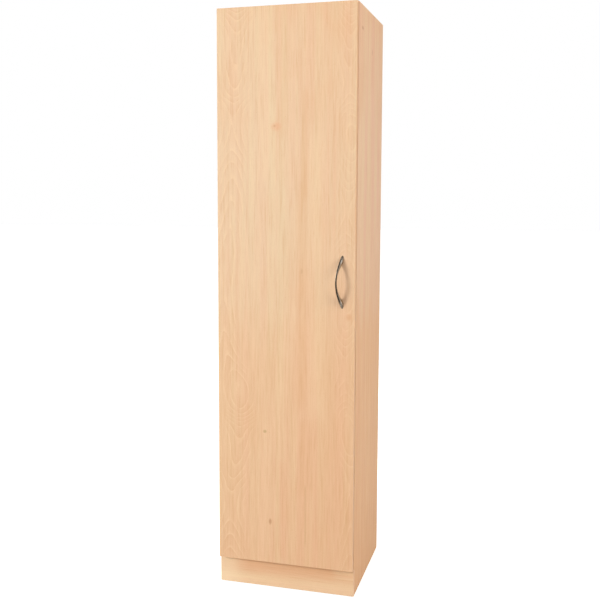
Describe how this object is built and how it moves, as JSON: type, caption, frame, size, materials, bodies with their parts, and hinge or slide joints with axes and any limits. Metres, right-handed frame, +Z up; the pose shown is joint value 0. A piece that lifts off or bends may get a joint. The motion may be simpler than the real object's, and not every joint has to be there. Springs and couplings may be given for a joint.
{
  "type": "tall kitchen cabinet",
  "caption": "Tall beech-effect kitchen cabinet with a full-height door on concealed hinges, a bow handle, shelves inside and a plinth.",
  "frame": {"origin": "on the floor, under the middle of the cabinet's box, its bow handle included", "axes": "+X to the right seen from the front, +Y to the back (the wall), +Z up; the door is on the -Y side"},
  "size_m": [0.5, 0.5314, 2.08],
  "materials": {
    "beech_melamine": "beech-effect melamine, satin",
    "edging": "beech-effect edge band",
    "hardboard": "printed hardboard",
    "strip_plastic": "moulded, matt",
    "dowel_wood": "raw beech",
    "glide_plastic": "moulded, matt",
    "bumper_rubber": "soft, clear",
    "satin_nickel": "satin nickel",
    "nickel_plated_steel": "nickel plated",
    "zinc_plated_steel": "zinc plated",
    "die_cast_zinc": "die cast, nickel plated",
    "spring_steel": "bright steel"
  },
  "bodies": {
    "carcass": {"adjustable_shelf_1": "beech_melamine", "adjustable_shelf_2": "beech_melamine", "adjustable_shelf_3": "beech_melamine", "adjustable_shelf_4": "beech_melamine", "back_joint_strip": "strip_plastic", "back_panel_lower": "hardboard", "back_panel_upper": "hardboard", "bottom_panel": "beech_melamine", "bracket_screws": "zinc_plated_steel", "cam_bolts": "zinc_plated_steel", "cam_locks": "die_cast_zinc", "dowels": "dowel_wood", "fixed_shelf": "beech_melamine", "foot_glides": "glide_plastic", "front_edging": "edging", "hinge_arm_1": "nickel_plated_steel", "hinge_arm_2": "nickel_plated_steel", "hinge_arm_3": "nickel_plated_steel", "hinge_arm_4": "nickel_plated_steel", "hinge_arm_screws": "zinc_plated_steel", "hinge_plate_1": "die_cast_zinc", "hinge_plate_2": "die_cast_zinc", "hinge_plate_3": "die_cast_zinc", "hinge_plate_4": "die_cast_zinc", "hinge_plate_screws": "zinc_plated_steel", "plinth_blocks": "glide_plastic", "plinth_board": "beech_melamine", "plinth_edging": "edging", "plinth_rear_rail": "beech_melamine", "plinth_screws": "zinc_plated_steel", "rear_rail_bottom": "beech_melamine", "rear_rail_middle": "beech_melamine", "rear_rail_top": "beech_melamine", "shelf_edging": "edging", "shelf_pins": "zinc_plated_steel", "side_panel_left": "beech_melamine", "side_panel_right": "beech_melamine", "top_panel": "beech_melamine", "wall_brackets": "zinc_plated_steel"},
    "door": {"cup_screws": "zinc_plated_steel", "door_bumpers": "bumper_rubber", "door_edging": "edging", "door_panel": "beech_melamine", "handle": "satin_nickel", "handle_screws": "zinc_plated_steel", "hinge_cup_1": "nickel_plated_steel", "hinge_cup_2": "nickel_plated_steel", "hinge_cup_3": "nickel_plated_steel", "hinge_cup_4": "nickel_plated_steel", "hinge_pin_1": "spring_steel", "hinge_pin_2": "spring_steel", "hinge_pin_3": "spring_steel", "hinge_pin_4": "spring_steel", "hinge_springs": "spring_steel"}
  },
  "joints": [
    {"name": "door_hinge", "type": "hinge", "parent": "carcass", "child": "door", "pos_m": [-0.2425, -0.22575, 1.0905], "axis": [0, 0, -1], "range_deg": [0, 95]}
  ]
}
